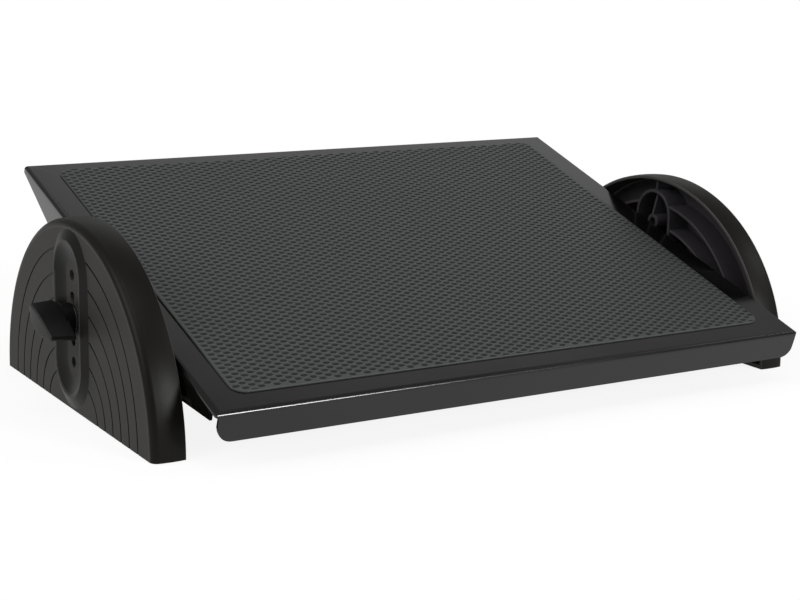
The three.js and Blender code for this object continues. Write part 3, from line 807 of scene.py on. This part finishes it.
# Mat: a sheet with rounded corners and a soft upper rim
# Its top is cut into cells, and every other one is a pit
def dimpledMat():
    sizes = {
        "left": -206.8, "right": 204.8, "front": -148.9, "back": 156.0, "low": 28.55, "high": 29.65,
        "corner": 9.5, "rim": 0.7, "across": 5.125, "along": 2.63, "turn": -0.7,   # the cells' pitches
        "startAcross": -1.3, "startAlong": 4.8, "cellCorner": 1.15, "slope": 0.6, "depth": 0.85,
        "leastCell": 0.55, "leastPit": 0.7,   # shares of a whole cell, for the ones that the rim cuts
        "wallShade": 0.75, "level": 0.999, "sharp": 80,
    }
    low = (sizes["left"], sizes["front"], sizes["low"])
    high = (sizes["right"], sizes["back"], sizes["high"])
    bm = block(bmesh.new(), low, high, corner=sizes["corner"])
    top = sizes["high"] * mm
    rims = [edge for edge in bm.edges
            if edge.calc_face_angle(0) > 1 and all(vert.co.z > top - tiny for vert in edge.verts)]
    bevelled(bm, rims, sizes["rim"], 3)

    def isTop(face):
        return face.normal.z > sizes["level"]

    turn = math.radians(sizes["turn"])
    ways = (("across", "startAcross", Vector((math.cos(turn), math.sin(turn), 0))),
            ("along", "startAlong", Vector((-math.sin(turn), math.cos(turn), 0))))
    reach = math.hypot(low[0], high[1]) + sizes["corner"]
    for step, begin, way in reversed(ways):
        count = int(reach / sizes[step])
        for i in range(-count, count):
            geom = dict.fromkeys(
                item for face in bm.faces if isTop(face) for item in (face, *face.edges, *face.verts))
            place = way * (sizes[begin] + (i + 0.5) * sizes[step]) * mm
            bmesh.ops.bisect_plane(bm, geom=list(geom), plane_co=place, plane_no=way)
    # The layer that carries the painted shade in the pits
    pitShade = bm.faces.layers.float.new("pitShade")
    cellArea = sizes["leastCell"] * sizes["across"] * sizes["along"] * mm * mm
    for face in bm.faces:
        if isTop(face):
            centre = face.calc_center_median() / mm
            cell = [round((centre.dot(way) - sizes[begin]) / sizes[step]) for step, begin, way in ways]
            face[pitShade] = 1.0 if face.calc_area() > cellArea and sum(cell) % 2 == 0 else 0.0
    corners = list(dict.fromkeys(
        vert for face in bm.faces if face[pitShade] for vert in face.verts
        if all(isTop(near) for near in vert.link_faces)))
    bevelled(bm, corners, sizes["cellCorner"], 1, affect="VERTICES")
    pits = [face for face in bm.faces if face[pitShade] and face.calc_area() > sizes["leastPit"] * cellArea]
    for face in bm.faces:
        face[pitShade] = 0.0
    walls = bmesh.ops.inset_individual(
        bm, faces=pits, thickness=sizes["slope"] * mm, depth=-sizes["depth"] * mm)["faces"]
    # Pit walls and floors take the painted shade, the walls a lighter share of it
    for faces, share in ((walls, sizes["wallShade"]), (pits, 1.0)):
        for face in faces:
            face[pitShade] = share
    print("dimples made:", len(pits))
    piece("dimpledMat", bm, platePlace, "platform", "mat", "foot_mat", sharpAngle=sizes["sharp"])


pivot = Vector((0, middle, pivotHeight)) * mm
platePlace = Matrix.Translation(pivot) @ Matrix.Rotation(math.radians(tilt), 4, "X")
foldedPlate()
dimpledMat()
print("plate and mat made")


# Floor whose white also shows in reflections; a share of its own light keeps the shadows soft
def makeStage():
    look = {"size": 60, "colour": (0.93, 0.93, 0.93), "glow": 0.88}
    bm = bmesh.new()
    bmesh.ops.create_grid(bm, x_segments=1, y_segments=1, size=look["size"])
    mesh = bpy.data.meshes.new("floor")
    bm.to_mesh(mesh)
    bm.free()
    floor = bpy.data.objects.new("floor", mesh)
    bpy.context.collection.objects.link(floor)
    f = Finish("pale studio floor", Specular_IOR_Level=0.0, Roughness=1.0)
    f.feed(f.shader.inputs["Base Color"], look["colour"])
    rays = [f.node("ShaderNodeLightPath", out=kind)
            for kind in ("Is Camera Ray", "Is Glossy Ray", "Is Transmission Ray")]
    seen = rays[0].larger(rays[1]).larger(rays[2]) * look["glow"]
    white = f.node("ShaderNodeEmission", {}, {"Color": (1, 1, 1), "Strength": 1.0})
    blend = f.node("ShaderNodeMixShader", {}, {0: seen, 1: Value(f, f.shader.outputs[0]), 2: white})
    f.feed(f.tree.nodes["Material Output"].inputs["Surface"], blend)
    mesh.materials.append(f.material)


studio = {
    "world": 0.315,
    "backdrop": 1.0,   # what the camera sees past the floor
    "suns": {   # azimuth it comes from, elevation, strength, width in degrees
        "left window": (-92, 38, 1.6, 46),
        "top window": (-20, 78, 0.7, 36),
        "front softbox": (25, 19, 1.9, 13.5),
        "side softbox": (66, 38, 0.3, 14),
        "back softbox": (144, 29, 0.075, 30),
    },
}


# The way from the object towards an azimuth and an elevation, in radians
def towards(azimuth, elevation):
    level = math.cos(elevation)
    return Vector((math.sin(azimuth) * level, -math.cos(azimuth) * level, math.sin(elevation)))


def makeLight():
    world = bpy.data.worlds.new("studio")
    bpy.context.scene.world = world
    world.use_nodes = True
    tree = world.node_tree
    around = tree.nodes["Background"]
    seen = tree.nodes.new("ShaderNodeBackground")
    for background, strength in ((around, studio["world"]), (seen, studio["backdrop"])):
        background.inputs["Color"].default_value = (1, 1, 1, 1)
        background.inputs["Strength"].default_value = strength
    blend = tree.nodes.new("ShaderNodeMixShader")
    tree.links.new(tree.nodes.new("ShaderNodeLightPath").outputs["Is Camera Ray"], blend.inputs[0])
    tree.links.new(around.outputs[0], blend.inputs[1])
    tree.links.new(seen.outputs[0], blend.inputs[2])
    tree.links.new(blend.outputs[0], tree.nodes["World Output"].inputs["Surface"])
    for name, (azimuth, elevation, strength, width) in studio["suns"].items():
        lamp = bpy.data.lights.new(name, "SUN")
        lamp.energy = strength
        lamp.angle = math.radians(width)
        lampObject = bpy.data.objects.new(name, lamp)
        way = towards(math.radians(azimuth), math.radians(elevation))
        lampObject.rotation_euler = way.to_track_quat("Z", "Y").to_euler()
        bpy.context.collection.objects.link(lampObject)


# Camera at the photograph's viewing angle, placed in millimetres
def makeCamera():
    view = {"place": (-620.19, -1001.946, 311.34), "azimuth": -31.524, "elevation": 12.512, "roll": 1.171,
            "lens": 75.766, "sensor": 36, "clipEnd": 200}
    azimuth, elevation, roll = (math.radians(view[key]) for key in ("azimuth", "elevation", "roll"))
    back = towards(azimuth, elevation)
    right = (-back).cross(Vector((0, 0, 1))).normalized()
    up = right.cross(-back)
    across = right * math.cos(roll) + up * math.sin(roll)
    upward = up * math.cos(roll) - right * math.sin(roll)
    data = bpy.data.cameras.new("camera")
    data.lens = view["lens"]
    data.sensor_width = view["sensor"]
    data.clip_end = view["clipEnd"]
    camera = bpy.data.objects.new("camera", data)
    turn = Matrix((across, upward, back)).transposed().to_4x4()
    camera.matrix_world = Matrix.Translation(Vector(view["place"]) * mm) @ turn
    bpy.context.collection.objects.link(camera)
    bpy.context.scene.camera = camera


makeStage()
makeLight()
makeCamera()
bpy.context.scene.view_settings.view_transform = "Standard"
print("floor, light and camera set")
